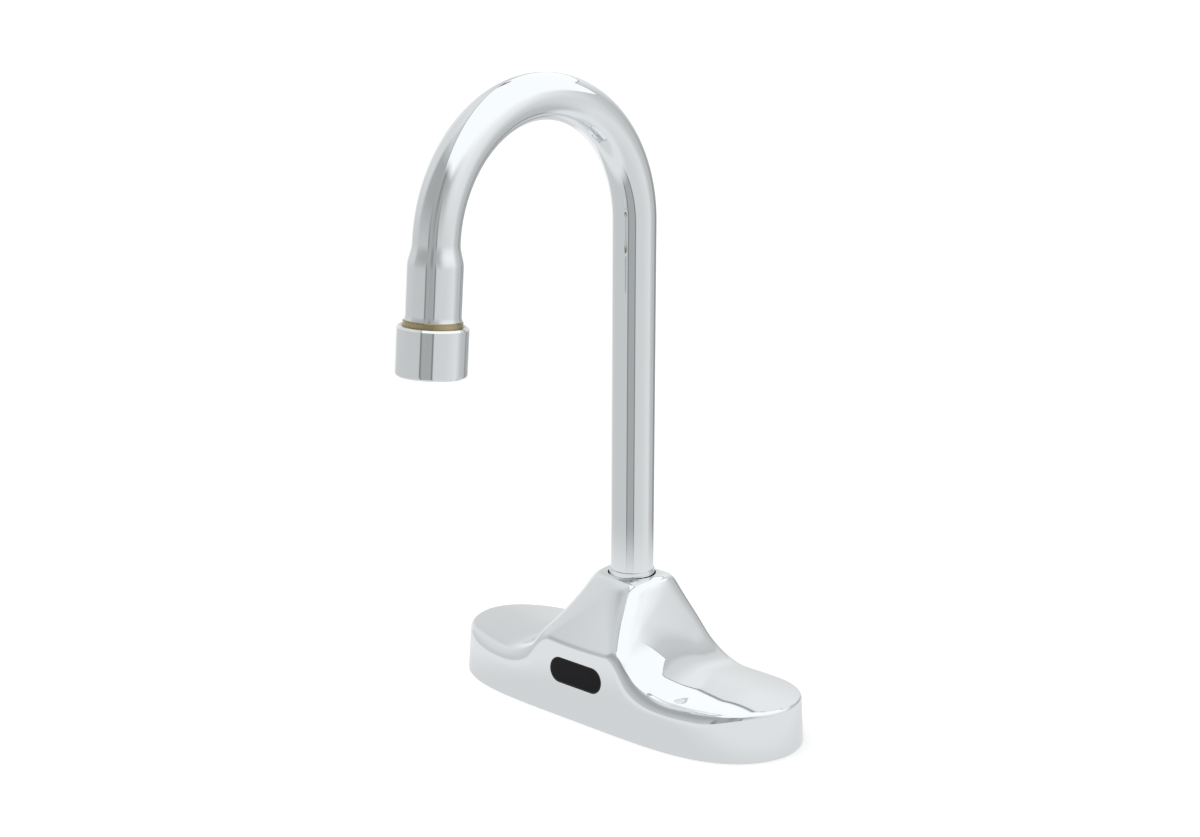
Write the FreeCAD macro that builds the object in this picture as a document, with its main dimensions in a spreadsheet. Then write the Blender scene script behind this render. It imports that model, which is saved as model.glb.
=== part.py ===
import FreeCAD, Part
import math
import os
import re
import Sketcher

# Deck-mounted sensor tap with a swivelling gooseneck spout, in millimetres.
# The origin is the spout's swivel axis at the underside of the base, on the deck.
# +Z is up and the sensor window and the spout face -Y.

V = FreeCAD.Vector

# Every driving dimension: alias, value, what it is.
DIMENSIONS = [
    ("base_length", 151.9, "base casting, end to end on the deck"),
    ("base_depth", 59.4, "base casting, front to back on the deck"),
    ("base_forward", 1.3, "the base outline's centre, ahead of the swivel axis"),
    ("outline_power_x", 4.4, "superellipse power along the base"),
    ("outline_power_y", 1.9, "superellipse power across the base"),
    ("wall_draft", 3.0, "degrees that the base's side walls lean in"),
    ("casting_wall", 3.0, "wall of the base casting"),
    ("wing_height", 18.0, "crown of the two low wings"),
    ("crown_radius", 110.0, "radius of the wings' crown, front to back"),
    ("collar_height", 49.6, "flat top round the spout"),
    ("collar_half_width", 11.8, "half of the hump's top, along the base"),
    ("collar_half_depth", 10.6, "half of the hump's top, across the base"),
    ("panel_height", 28.8, "top of the upright front panel"),
    ("panel_half_width", 17.0, "half of the front panel's top edge"),
    ("rear_slope", 0.5, "how far the hump's back runs out for each millimetre down"),
    ("flare_radius", 22.0, "concave sweep from the hump into a wing"),
    ("ridge_radius", 7.0, "rounding of the hump's four ridges"),
    ("rim_radius", 2.5, "rounding of the hump's top edge"),
    ("crease_radius", 1.8, "rounding where the top meets the side walls"),
    ("deck_recess", 2.0, "recess in the underside for the gasket"),
    ("fit_gap", 0.05, "radial gap of parts pushed or screwed together"),
    ("slip_gap", 0.1, "gap between parts that turn on each other"),
    ("stud_spacing", 101.6, "centres of the two fixing studs, 4 in"),
    ("stud_hole_diameter", 7.94, "tapping hole for a 3/8-16 stud"),
    ("stud_hole_depth", 13.0, "depth of the tapped holes"),
    ("stud_boss_diameter", 15.0, "bosses round the tapped holes"),
    ("gasket_ledge", 1.4, "ledge that the base gasket seats on"),
    ("gasket_gap", 0.3, "gap round the base gasket"),
    ("service_slot_length", 46.0, "opening in the gasket for hose and lead, along the base"),
    ("service_slot_width", 31.0, "that opening, across the base"),
    ("collar_hole_diameter", 17.8, "hole that the spout turns in"),
    ("collar_depth", 8.0, "thickness of casting round that hole"),
    ("socket_diameter", 22.0, "brass socket that carries the spout"),
    ("socket_foot", 3.0, "height of the socket's lower end over the deck"),
    ("socket_boss_wall", 3.0, "casting round the socket"),
    ("socket_boss_foot", 10.0, "height of that boss's lower end"),
    ("locknut_height", 5.0, "jam nut under the boss"),
    ("locknut_flats", 29.0, "jam nut across its flats"),
    ("inlet_diameter", 15.25, "tapping bore of the G 3/8 water inlet"),
    ("inlet_depth", 11.0, "depth of the inlet thread"),
    ("waterway", 10.0, "waterway between inlet and stem"),
    ("strainer_diameter", 14.0, "seat of the inlet strainer"),
    ("strainer_height", 2.0, "inlet strainer disc"),
    ("strainer_hole_diameter", 1.4, "holes in the inlet strainer"),
    ("strainer_pitch", 2.2, "distance between those holes"),
    ("stem_diameter", 15.2, "swivel stem"),
    ("stem_foot", 19.5, "height of the stem's lower end"),
    ("stem_bore", 9.5, "waterway through the stem"),
    ("flange_diameter", 17.0, "stem flange that rests on the thrust washer"),
    ("flange_height", 2.4, "thickness of that flange"),
    ("washer_height", 1.0, "thrust washer under the flange"),
    ("spigot_height", 9.0, "part of the stem that is brazed into the tube"),
    ("seal_section", 1.5, "O-ring cord on the stem"),
    ("seal_low", 24.0, "height of the lower O-ring"),
    ("seal_pitch", 5.0, "distance between the two O-rings"),
    ("clip_low", 34.5, "height of the retaining ring"),
    ("clip_height", 1.0, "thickness of the retaining ring"),
    ("clip_bite", 0.9, "how deep the retaining ring sits on either side"),
    ("clip_mouth", 50.0, "degrees of the retaining ring that are open"),
    ("tube_diameter", 15.875, "gooseneck tube, 5/8 in"),
    ("tube_wall", 1.2, "wall of that tube"),
    ("riser_top", 179.8, "height at which the riser starts to bend"),
    ("bend_radius", 47.2, "centreline radius of the gooseneck"),
    ("bend_angle", 175.57, "degrees that the gooseneck turns"),
    ("foot_ring_diameter", 16.8, "ring round the tube where it enters the base"),
    ("foot_ring_height", 5.5, "length of that ring"),
    ("foot_ring_show", 1.8, "how much of that ring stands over the collar"),
    ("neck_diameter", 18.6, "swaged end of the gooseneck"),
    ("neck_length", 25.2, "from the end of the bend to the neck's lip"),
    ("swage_length", 7.5, "taper from the tube to the neck"),
    ("lip_length", 1.5, "slight flare at the neck's end"),
    ("lip_flare", 0.3, "how much the lip widens, on the radius"),
    ("nipple_shoulder_diameter", 19.8, "bare brass ring under the neck"),
    ("nipple_shoulder", 1.6, "thickness of that ring"),
    ("nipple_spigot", 9.0, "part of the nipple that is brazed into the neck"),
    ("nipple_bore", 12.5, "waterway through the nipple"),
    ("thread_diameter", 20.6, "aerator thread"),
    ("thread_length", 8.0, "length of that thread"),
    ("aerator_diameter", 24.0, "aerator housing, 15/16 in"),
    ("aerator_height", 16.6, "length of the aerator housing"),
    ("aerator_chamfer", 0.7, "chamfer of its top edge"),
    ("aerator_round", 1.2, "rounding of its lower edge"),
    ("aerator_lip", 1.2, "inward lip at its mouth"),
    ("aerator_lip_height", 1.4, "thickness of that lip"),
    ("sealing_washer", 1.6, "rubber washer in the aerator"),
    ("regulator_height", 1.8, "flow regulator disc"),
    ("screen_height", 0.4, "wire screen"),
    ("screen_hole_diameter", 1.0, "openings of the wire screen"),
    ("screen_pitch", 1.6, "distance between those openings"),
    ("insert_wall", 1.6, "aerator cartridge"),
    ("insert_web", 1.0, "cross web of the aerator cartridge"),
    ("regulator_hole_diameter", 1.6, "jets of the flow regulator"),
    ("regulator_circle", 9.0, "circle of those jets"),
    ("grid_height", 1.6, "outlet grid"),
    ("grid_hole_diameter", 1.3, "holes of the outlet grid"),
    ("grid_pitch", 2.0, "distance between those holes"),
    ("window_width", 25.6, "sensor window opening"),
    ("window_height", 9.6, "sensor window opening"),
    ("window_centre", 17.4, "height of the window over the deck"),
    ("window_sink", 0.15, "how far the window lies under the chrome"),
    ("seal_lip", 0.5, "rubber round the window"),
    ("window_flange", 1.6, "how far the window's flange reaches under the wall"),
    ("window_flange_height", 1.2, "thickness of that flange"),
    ("housing_width", 30.0, "sensor housing"),
    ("housing_height", 15.0, "sensor housing, up and down"),
    ("housing_wall", 1.5, "sensor housing"),
    ("boss_gap", 0.8, "from the sensor's back cover to the socket's boss"),
    ("ear_reach", 8.0, "sensor housing ears, sideways"),
    ("ear_height", 6.0, "sensor housing ears, up and down"),
    ("ear_thickness", 2.5, "sensor housing ears, front to back"),
    ("ear_drop", 5.0, "centre of the ears under the window's centre"),
    ("screw_boss_diameter", 6.0, "casting bosses for the housing screws"),
    ("screw_boss_height", 4.0, "those bosses, from the wall inwards"),
    ("screw_diameter", 3.0, "housing screws, M3"),
    ("screw_head_diameter", 5.5, "heads of those screws"),
    ("screw_head_height", 2.0, "heads of those screws"),
    ("board_height", 1.6, "sensor circuit board"),
    ("board_depth", 3.0, "from the window's flange to the board"),
    ("lamp_diameter", 4.8, "infra-red emitter and receiver"),
    ("lamp_spacing", 13.0, "centres of emitter and receiver"),
    ("divider_thickness", 1.2, "light barrier between them"),
    ("cover_thickness", 1.5, "back cover of the sensor housing"),
    ("gland_diameter", 6.0, "grommet for the sensor lead"),
    ("gland_bore", 3.2, "hole in that grommet"),
    ("gland_inset", 6.0, "that grommet's centre, in from the side of the back cover"),
    ("gland_flange", 1.2, "flange of that grommet"),
]

doc = FreeCAD.newDocument("sensor_tap")
sheet = doc.addObject("Spreadsheet::Sheet", "sizes")
for row, (alias, amount, meaning) in enumerate(DIMENSIONS, start=1):
    sheet.set(f"A{row}", meaning)
    sheet.set(f"B{row}", str(amount))
    sheet.setAlias(f"B{row}", alias)
doc.recompute()
SIZE = {alias: float(sheet.get(alias)) for alias, amount, meaning in DIMENSIONS}
ALIAS = re.compile(r"\b(" + "|".join(SIZE) + r")\b")
NODES = []
gauge = doc.addObject("App::FeaturePython", "Gauge")
gauge.addProperty("App::PropertyFloat", "Amount")


def cell(formula):
    """A formula in the sheet's aliases, as an expression."""
    return ALIAS.sub(r"sizes.\1", str(formula))


def bind(item, **formulas):
    """Bind properties to the sheet. A double underscore stands for a dot."""
    for name, formula in formulas.items():
        item.setExpression(name.replace("__", "."), cell(formula))
    return item


def node(item, label):
    """Give a finished sub-part its name."""
    item.Label = label
    NODES.append(item)
    return item


def cylinder(radius, low, high, x="0", y="0"):
    """An upright Part::Cylinder between two heights."""
    item = doc.addObject("Part::Cylinder", "Cylinder")
    return bind(item, Radius=radius, Height=f"({high}) - ({low})", Placement__Base__x=x,
                Placement__Base__y=y, Placement__Base__z=low)


def box(width, depth, low, high, x="0", y="0"):
    """A Part::Box centred on (x, y) between two heights."""
    item = doc.addObject("Part::Box", "Box")
    return bind(item, Length=width, Width=depth, Height=f"({high}) - ({low})",
                Placement__Base__x=f"({x}) - ({width}) / 2",
                Placement__Base__y=f"({y}) - ({depth}) / 2", Placement__Base__z=low)


def stadium(width, depth, low, high):
    """A plate with two half-round ends, centred on the axis."""
    reach = f"(({width}) - ({depth})) / 2"
    ends = [cylinder(f"({depth}) / 2", low, high, x=f"{sign}({reach})") for sign in ("-", "")]
    return fuse([box(f"2 * ({reach})", depth, low, high)] + ends)


def fuse(items):
    item = doc.addObject("Part::MultiFuse", "Fuse")
    item.Shapes = items
    item.Refine = True
    return item


def cut(base, tools):
    item = doc.addObject("Part::Cut", "Cut")
    item.Base = base
    item.Tool = tools[0] if len(tools) == 1 else fuse(tools)
    return item


def ring(outer, inner, low, high):
    return cut(cylinder(outer, low, high), [cylinder(inner, low, high)])


def group(items):
    """Like pieces that share one node, each a solid of its own."""
    item = doc.addObject("Part::Compound", "Group")
    item.Links = items
    return item


def origin_plane(body, role):
    return next(part for part in body.Origin.OriginFeatures if part.Role == role)


def outline_sketch(body, corners):
    """A closed sketch on the body's XZ plane. Each corner is (radius, height), both bound."""
    sketch = body.newObject("Sketcher::SketchObject", "Profile")
    sketch.AttachmentSupport = (origin_plane(body, "XZ_Plane"), "")
    sketch.MapMode = "FlatFace"
    spots = [V(*(number(formula) for formula in corner), 0) for corner in corners]
    for index, spot in enumerate(spots):
        following = (index + 1) % len(spots)
        sketch.addGeometry(Part.LineSegment(spot, spots[following]), False)
    for index, (radius, height) in enumerate(corners):
        following = (index + 1) % len(corners)
        sketch.addConstraint(Sketcher.Constraint("Coincident", index, 2, following, 1))
        for axis, formula in (("DistanceX", radius), ("DistanceY", height)):
            which = sketch.addConstraint(
                Sketcher.Constraint(axis, -1, 1, index, 1, number(formula)))
            sketch.setExpression(f"Constraints[{which}]", cell(formula))
    return sketch


def number(formula):
    """The present value of a formula in the sheet's aliases."""
    bind(gauge, Amount=formula)
    gauge.recompute()
    return gauge.Amount


def turned(corners):
    """A turned piece: a revolved outline of (radius, height) corners."""
    body = doc.addObject("PartDesign::Body", "Turned")
    sketch = outline_sketch(body, corners)
    revolution = body.newObject("PartDesign::Revolution", "Revolution")
    revolution.Profile = sketch
    revolution.ReferenceAxis = (sketch, ["V_Axis"])
    revolution.Angle = 360.0
    doc.recompute()
    return body


def on_outlet(item):
    """Place a piece whose own +Z is the flow, from the end of the bend."""
    item.Placement.Rotation = FreeCAD.Rotation(V(1, 0, 0), 1.0)
    return bind(item, Placement__Rotation__Angle="bend_angle",
                Placement__Base__y="-bend_radius * (1 - cos(bend_angle))",
                Placement__Base__z="riser_top + bend_radius * sin(bend_angle)")


# Base casting -----------------------------------------------------------------------

def base_outline(inset, height):
    """The base's plan at a height: a superellipse, less the draft of the walls."""
    shrink = inset + height * math.tan(math.radians(SIZE["wall_draft"]))
    half_length = SIZE["base_length"] / 2 - shrink
    half_depth = SIZE["base_depth"] / 2 - shrink
    steps = 64
    spots = []
    for step in range(steps):
        turn = 2 * math.pi * step / steps
        along = half_length * abs(math.cos(turn)) ** (2 / SIZE["outline_power_x"])
        across = half_depth * abs(math.sin(turn)) ** (2 / SIZE["outline_power_y"])
        spots.append(V(math.copysign(along, math.cos(turn)),
                       math.copysign(across, math.sin(turn)) - SIZE["base_forward"], height))
    curve = Part.BSplineCurve()
    curve.interpolate(Points=spots, PeriodicFlag=True)
    return Part.Wire(curve.toShape())


def side_walls(inset):
    top = 1.2 * SIZE["collar_height"]
    return Part.makeLoft([base_outline(inset, 0), base_outline(inset, top)], True, True)


def long_profile(inset):
    """The hump, its flares and the wings seen from the front, turned about the crown's axis."""
    axis_z = SIZE["wing_height"] - SIZE["crown_radius"]
    panel_z = axis_z + math.hypot(SIZE["base_depth"] / 2, SIZE["panel_height"] - axis_z)
    collar_z = axis_z + math.hypot(SIZE["collar_half_depth"], SIZE["collar_height"] - axis_z)
    lean = math.atan((SIZE["panel_half_width"] - SIZE["collar_half_width"])
                     / (collar_z - panel_z))
    wing_z = SIZE["wing_height"] - inset
    flare = SIZE["flare_radius"] + inset
    top_z = collar_z + SIZE["rim_radius"]

    def flank(z):
        return SIZE["collar_half_width"] + math.tan(lean) * (collar_z - z) - inset / math.cos(lean)

    reach = flare * math.tan((math.pi / 2 - lean) / 2)
    foot = V(flank(wing_z) + reach, 0, wing_z)
    centre = foot + V(0, 0, flare)
    start = V(centre.x - flare * math.cos(lean), 0, centre.z - flare * math.sin(lean))
    halfway = math.pi / 4 + lean / 2
    middle = V(centre.x - flare * math.cos(halfway), 0, centre.z - flare * math.sin(halfway))
    top = V(flank(top_z), 0, top_z)
    end = V(SIZE["base_length"], 0, wing_z)
    low = V(end.x, 0, -SIZE["collar_height"] / 2)

    def mirrored(spot):
        return V(-spot.x, spot.y, spot.z)

    edges = [Part.LineSegment(mirrored(top), top), Part.LineSegment(top, start),
             Part.Arc(start, middle, foot), Part.LineSegment(foot, end),
             Part.LineSegment(end, low), Part.LineSegment(low, mirrored(low)),
             Part.LineSegment(mirrored(low), mirrored(end)),
             Part.LineSegment(mirrored(end), mirrored(foot)),
             Part.Arc(mirrored(foot), mirrored(middle), mirrored(start)),
             Part.LineSegment(mirrored(start), mirrored(top))]
    face = Part.Face(Part.Wire([edge.toShape() for edge in edges]))
    axis = V(0, -SIZE["base_forward"], axis_z)
    face.translate(V(0, -SIZE["base_forward"], 0))
    half_turn = math.degrees(math.asin(SIZE["base_depth"] / SIZE["crown_radius"]))
    face.rotate(axis, V(1, 0, 0), -half_turn)
    return face.revolve(axis, V(1, 0, 0), 2 * half_turn)


def cross_profile(inset):
    """The hump's sloping front and back, seen from the side."""
    front_y = -SIZE["base_forward"] - SIZE["base_depth"] / 2
    front_slope = ((-SIZE["collar_half_depth"] - front_y)
                   / (SIZE["collar_height"] - SIZE["panel_height"]))
    top_z = SIZE["collar_height"] - inset
    low_z = -SIZE["casting_wall"]

    def front(z):
        return (-SIZE["collar_half_depth"] - front_slope * (SIZE["collar_height"] - z)
                + inset * math.hypot(1, front_slope))

    def back(z):
        return (SIZE["collar_half_depth"] + SIZE["rear_slope"] * (SIZE["collar_height"] - z)
                - inset * math.hypot(1, SIZE["rear_slope"]))

    x = -SIZE["base_length"]
    corners = [V(x, front(low_z), low_z), V(x, front(top_z), top_z),
               V(x, back(top_z), top_z), V(x, back(low_z), low_z)]
    return Part.Face(Part.makePolygon(corners + corners[:1])).extrude(V(-2 * x, 0, 0))


def casting_skin():
    """The casting's outer form: ridges rounded first, then its rim, then the crease."""
    core = long_profile(0).common(cross_profile(0))
    top = SIZE["collar_height"]
    ridges = [edge for edge in core.Edges
              if edge.BoundBox.ZLength > SIZE["ridge_radius"]
              and edge.CenterOfMass.z > SIZE["panel_height"]]
    core = core.makeFillet(SIZE["ridge_radius"], ridges)
    rim = [edge for edge in core.Edges
           if edge.BoundBox.ZLength < 1e-3 and abs(edge.CenterOfMass.z - top) < 1e-3]
    core = core.makeFillet(SIZE["rim_radius"], rim)
    skin = core.common(side_walls(0))
    walls = [face for face in skin.Faces
             if face.BoundBox.ZMin < 1e-3 and face.BoundBox.ZLength > SIZE["wing_height"] / 2]
    crease = [edge for wall in walls for edge in wall.Edges
              if edge.BoundBox.ZMin > SIZE["wing_height"] / 2
              and sum(other.isSame(edge) for face in walls for other in face.Edges) == 1]
    return skin.makeFillet(SIZE["crease_radius"], crease)


def casting_cavity():
    wall = SIZE["casting_wall"]
    return long_profile(wall).common(cross_profile(wall)).common(side_walls(wall))


def upright(diameter, low, high, x=0.0):
    return Part.makeCylinder(diameter / 2, high - low, V(x, 0, low))


def wall_frame():
    """The window's seat: origin on the front wall, +Z inwards, +Y up along the wall."""
    lean = math.tan(math.radians(SIZE["wall_draft"]))
    front = SIZE["base_forward"] + SIZE["base_depth"] / 2 - SIZE["window_centre"] * lean
    turn = FreeCAD.Rotation(V(1, 0, 0), V(0, lean, 1), V(0, 1, -lean), "ZYX")
    return FreeCAD.Placement(V(0, -front, SIZE["window_centre"]), turn)


def in_wall(item):
    """Place a piece of the sensor, whose own +Z runs inwards from the front wall."""
    item.Placement = wall_frame()
    return item


def screw_boss(diameter, low, high, side):
    """A cylinder on the axis of one housing screw, between two depths from the wall."""
    x = side * (SIZE["housing_width"] + SIZE["ear_reach"]) / 2
    shape = Part.makeCylinder(diameter / 2, high - low, V(x, -SIZE["ear_drop"], low))
    shape.Placement = wall_frame()
    return shape


def window_opening():
    reach = (SIZE["window_width"] - SIZE["window_height"]) / 2
    radius = SIZE["window_height"] / 2
    low = -SIZE["casting_wall"]
    deep = 3 * SIZE["casting_wall"]
    shape = Part.makeBox(2 * reach, 2 * radius, deep, V(-reach, -radius, low))
    for x in (-reach, reach):
        shape = shape.fuse(Part.makeCylinder(radius, deep, V(x, 0, low)))
    shape.Placement = wall_frame()
    return shape


def base_casting():
    collar = SIZE["collar_height"]
    socket_top = collar - SIZE["collar_depth"]
    socket = SIZE["socket_diameter"] + 2 * SIZE["fit_gap"]
    sides = (-1, 1)
    studs = [side * SIZE["stud_spacing"] / 2 for side in sides]
    wall = SIZE["casting_wall"]
    bosses = [upright(socket + 2 * SIZE["socket_boss_wall"], SIZE["socket_boss_foot"], collar)]
    bosses += [upright(SIZE["stud_boss_diameter"], 0, SIZE["wing_height"], x) for x in studs]
    bosses += [screw_boss(SIZE["screw_boss_diameter"], wall / 2, wall + SIZE["screw_boss_height"],
                          side) for side in sides]
    ledge = wall - SIZE["gasket_ledge"]
    recess = Part.Face(base_outline(ledge, 0)).extrude(V(0, 0, SIZE["deck_recess"]))
    hollow = casting_cavity().fuse(recess).cut(Part.Compound(bosses))
    holes = [upright(SIZE["collar_hole_diameter"], socket_top - wall, collar + wall),
             upright(socket, 0, socket_top), window_opening()]
    holes += [upright(SIZE["stud_hole_diameter"], -wall, SIZE["stud_hole_depth"], x)
              for x in studs]
    holes += [screw_boss(SIZE["screw_diameter"] + 2 * SIZE["fit_gap"], wall + SIZE["fit_gap"],
                         2 * wall + SIZE["screw_boss_height"], side) for side in sides]
    shape = casting_skin().cut(hollow)
    for hole in holes:
        shape = shape.cut(hole)
    return shape


base_body = node(doc.addObject("Part::Feature", "Casting"), "base_body")
base_body.Shape = base_casting()


# Base gasket --------------------------------------------------------------------------

def gasket():
    """A foam plate in the recess under the casting, open for the hose and the studs."""
    inset = SIZE["casting_wall"] - SIZE["gasket_ledge"] + SIZE["gasket_gap"]
    shape = Part.Face(base_outline(inset, 0)).extrude(V(0, 0, SIZE["deck_recess"]))
    width = SIZE["service_slot_width"]
    reach = (SIZE["service_slot_length"] - width) / 2
    low, high = -SIZE["deck_recess"], 2 * SIZE["deck_recess"]
    shape = shape.cut(Part.makeBox(2 * reach, width, high - low, V(-reach, -width / 2, low)))
    cuts = [(width, side * reach) for side in (-1, 1)]
    cuts += [(SIZE["stud_boss_diameter"] + 2 * SIZE["gasket_gap"],
              side * SIZE["stud_spacing"] / 2) for side in (-1, 1)]
    for diameter, x in cuts:
        shape = shape.cut(upright(diameter, low, high, x))
    return shape


base_gasket = node(doc.addObject("Part::Feature", "Gasket"), "base_gasket")
base_gasket.Shape = gasket()


# Sensor behind the front panel -----------------------------------------------------------
# Depths run inwards from the chrome: seal, window, housing, board, cover.

SEAL_BACK = "casting_wall + fit_gap + seal_lip"
WINDOW_BACK = f"{SEAL_BACK} + window_flange_height"
BOARD_FRONT = f"{WINDOW_BACK} + board_depth"
COVER_BACK = ("(base_depth / 2 + base_forward - window_centre * tan(wall_draft)"
              " - socket_diameter / 2 - fit_gap - socket_boss_wall - boss_gap)")
HOUSING_BACK = f"({COVER_BACK} - cover_thickness)"
EAR_FRONT = "casting_wall + screw_boss_height"
EAR_BACK = f"{EAR_FRONT} + ear_thickness"
EAR_X = "(housing_width + ear_reach) / 2"

flange_width = "window_width + 2 * window_flange"
flange_depth = "window_height + 2 * window_flange"
lens_width = "window_width - 2 * seal_lip"
lens_depth = "window_height - 2 * seal_lip"

window_seal = node(in_wall(cut(
    fuse([stadium("window_width - 2 * fit_gap", "window_height - 2 * fit_gap",
                  "window_sink", SEAL_BACK),
          stadium(flange_width, flange_depth, "casting_wall + fit_gap", SEAL_BACK)]),
    [stadium(lens_width, lens_depth, "0", f"{SEAL_BACK} + 1")])), "window_seal")

sensor_window = node(in_wall(fuse([
    stadium(f"{lens_width} - 2 * fit_gap", f"{lens_depth} - 2 * fit_gap", "window_sink",
            WINDOW_BACK),
    stadium(flange_width, flange_depth, SEAL_BACK, WINDOW_BACK)])), "sensor_window")

inner_width = "housing_width - 2 * housing_wall"
inner_height = "housing_height - 2 * housing_wall"
housing_shell = cut(box("housing_width", "housing_height", WINDOW_BACK, HOUSING_BACK),
                    [box(inner_width, inner_height, "0", f"{HOUSING_BACK} + 1")])
ears = [box("ear_reach", "ear_height", EAR_FRONT, EAR_BACK, x=f"{sign}({EAR_X})",
            y="-ear_drop") for sign in ("-", "")]
ear_holes = [cylinder("screw_diameter / 2 + slip_gap", "0", f"{EAR_BACK} + 1",
                      x=f"{sign}({EAR_X})", y="-ear_drop") for sign in ("-", "")]
sensor_housing = node(in_wall(cut(fuse([housing_shell] + ears), ear_holes)), "sensor_housing")


sensor_board = node(in_wall(group([
    box(f"{inner_width} - 4 * slip_gap", f"{inner_height} - 4 * slip_gap", BOARD_FRONT,
        f"{BOARD_FRONT} + board_height")])), "sensor_circuit_board")

for lamp, sign in (("ir_emitter", "-"), ("ir_receiver", "")):
    node(in_wall(group([cylinder("lamp_diameter / 2", f"{WINDOW_BACK} + slip_gap", BOARD_FRONT,
                                 x=f"{sign}lamp_spacing / 2")])), lamp)

light_divider = node(in_wall(group([
    box("divider_thickness", f"{inner_height} - 4 * slip_gap", WINDOW_BACK, BOARD_FRONT)])),
    "light_divider")

GLAND_X = "(housing_width / 2 - gland_inset)"
sensor_back_cover = node(in_wall(cut(
    box("housing_width", "housing_height", HOUSING_BACK, COVER_BACK),
    [cylinder("gland_diameter / 2 + fit_gap", "0", f"{COVER_BACK} + 1", x=GLAND_X)])),
    "sensor_back_cover")

lead_grommet = node(in_wall(cut(
    fuse([cylinder("gland_diameter / 2", f"{HOUSING_BACK} - gland_flange",
                   f"{COVER_BACK} + gland_flange", x=GLAND_X),
          cylinder("gland_diameter / 2 + gland_flange", COVER_BACK,
                   f"{COVER_BACK} + gland_flange", x=GLAND_X)]),
    [cylinder("gland_bore / 2", "0", f"{COVER_BACK} + 2 * gland_flange", x=GLAND_X)])),
    "lead_grommet")


def housing_screw(sign):
    x = f"{sign}({EAR_X})"
    shank_end = "casting_wall + 2 * screw_diameter / 3"
    return fuse([cylinder("screw_diameter / 2", shank_end, EAR_BACK, x=x, y="-ear_drop"),
                 cylinder("screw_head_diameter / 2", EAR_BACK,
                          f"{EAR_BACK} + screw_head_height", x=x, y="-ear_drop")])


housing_screws = node(in_wall(group([housing_screw(sign) for sign in ("-", "")])),
                      "housing_screws")


# Spout socket and swivel --------------------------------------------------------------------
# Heights over the deck, on the swivel axis.

SOCKET_TOP = "(collar_height - collar_depth)"
SOCKET_BORE = "(stem_diameter / 2 + fit_gap)"
SOCKET_FLOOR = "(stem_foot - 5 * slip_gap)"
STRAINER_LOW = "(socket_foot + inlet_depth)"
STRAINER_TOP = f"({STRAINER_LOW} + strainer_height)"
CLIP_TOP = "(clip_low + clip_height)"
FLANGE_LOW = f"({SOCKET_TOP} + washer_height + fit_gap)"
FLANGE_TOP = f"({FLANGE_LOW} + flange_height)"

spout_socket = node(turned([
    ("inlet_diameter / 2", "socket_foot"),
    ("socket_diameter / 2", "socket_foot"),
    ("socket_diameter / 2", SOCKET_TOP),
    (SOCKET_BORE, SOCKET_TOP),
    (SOCKET_BORE, f"{CLIP_TOP} + slip_gap"),
    (f"{SOCKET_BORE} + clip_bite", f"{CLIP_TOP} + slip_gap"),
    (f"{SOCKET_BORE} + clip_bite", "clip_low - slip_gap"),
    (SOCKET_BORE, "clip_low - slip_gap"),
    (SOCKET_BORE, SOCKET_FLOOR),
    ("waterway / 2", SOCKET_FLOOR),
    ("waterway / 2", STRAINER_TOP),
    ("strainer_diameter / 2", STRAINER_TOP),
    ("strainer_diameter / 2", STRAINER_LOW),
    ("inlet_diameter / 2", STRAINER_LOW)]), "spout_socket")

locknut_body = bind(doc.addObject("Part::Prism", "Nut"),
                    Circumradius="locknut_flats / 2 / cos(30)", Height="locknut_height",
                    Placement__Base__z="socket_boss_foot - locknut_height")
locknut_body.Polygon = 6
socket_locknut = node(cut(locknut_body, [
    cylinder("socket_diameter / 2 + fit_gap", "0", "socket_boss_foot + 1")]), "socket_locknut")


def perforated(radius, low, high, hole_radius, pitch):
    """A disc with a square grid of round holes that stay clear of its edge."""
    steps = int(number(f"({radius}) / ({pitch})"))
    clear = number(f"({radius}) - 2 * ({hole_radius})")
    holes = []
    for row in range(-steps, steps + 1):
        for column in range(-steps, steps + 1):
            if math.hypot(row, column) * number(pitch) < clear:
                holes.append(cylinder(hole_radius, f"({low}) - 1", f"({high}) + 1",
                                      x=f"{column} * ({pitch})", y=f"{row} * ({pitch})"))
    return cut(cylinder(radius, low, high), [group(holes)])


inlet_strainer = node(perforated("strainer_diameter / 2 - fit_gap", STRAINER_LOW, STRAINER_TOP,
                                 "strainer_hole_diameter / 2", "strainer_pitch"),
                      "inlet_strainer")

thrust_washer = node(ring("flange_diameter / 2", "stem_diameter / 2 + slip_gap", SOCKET_TOP,
                          f"{SOCKET_TOP} + washer_height"), "thrust_washer")

clip_ring = ring(f"{SOCKET_BORE} + clip_bite - slip_gap / 2",
                 "stem_diameter / 2 - clip_bite + slip_gap", "clip_low", CLIP_TOP)
clip_cutter = bind(doc.addObject("Part::Cylinder", "Mouth"), Radius="socket_diameter",
                   Height="2 * clip_height", Angle="clip_mouth",
                   Placement__Base__z="clip_low - clip_height / 2")
retaining_ring = node(cut(clip_ring, [clip_cutter]), "retaining_ring")

seals = [f"(seal_low + {index} * seal_pitch)" for index in range(2)]
groove = []
for height in seals:
    low = f"{height} - seal_section / 2 - slip_gap"
    high = f"{height} + seal_section / 2 + slip_gap"
    floor = f"{SOCKET_BORE} - seal_section"
    groove += [("stem_diameter / 2", low), (floor, low), (floor, high),
               ("stem_diameter / 2", high)]

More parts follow.
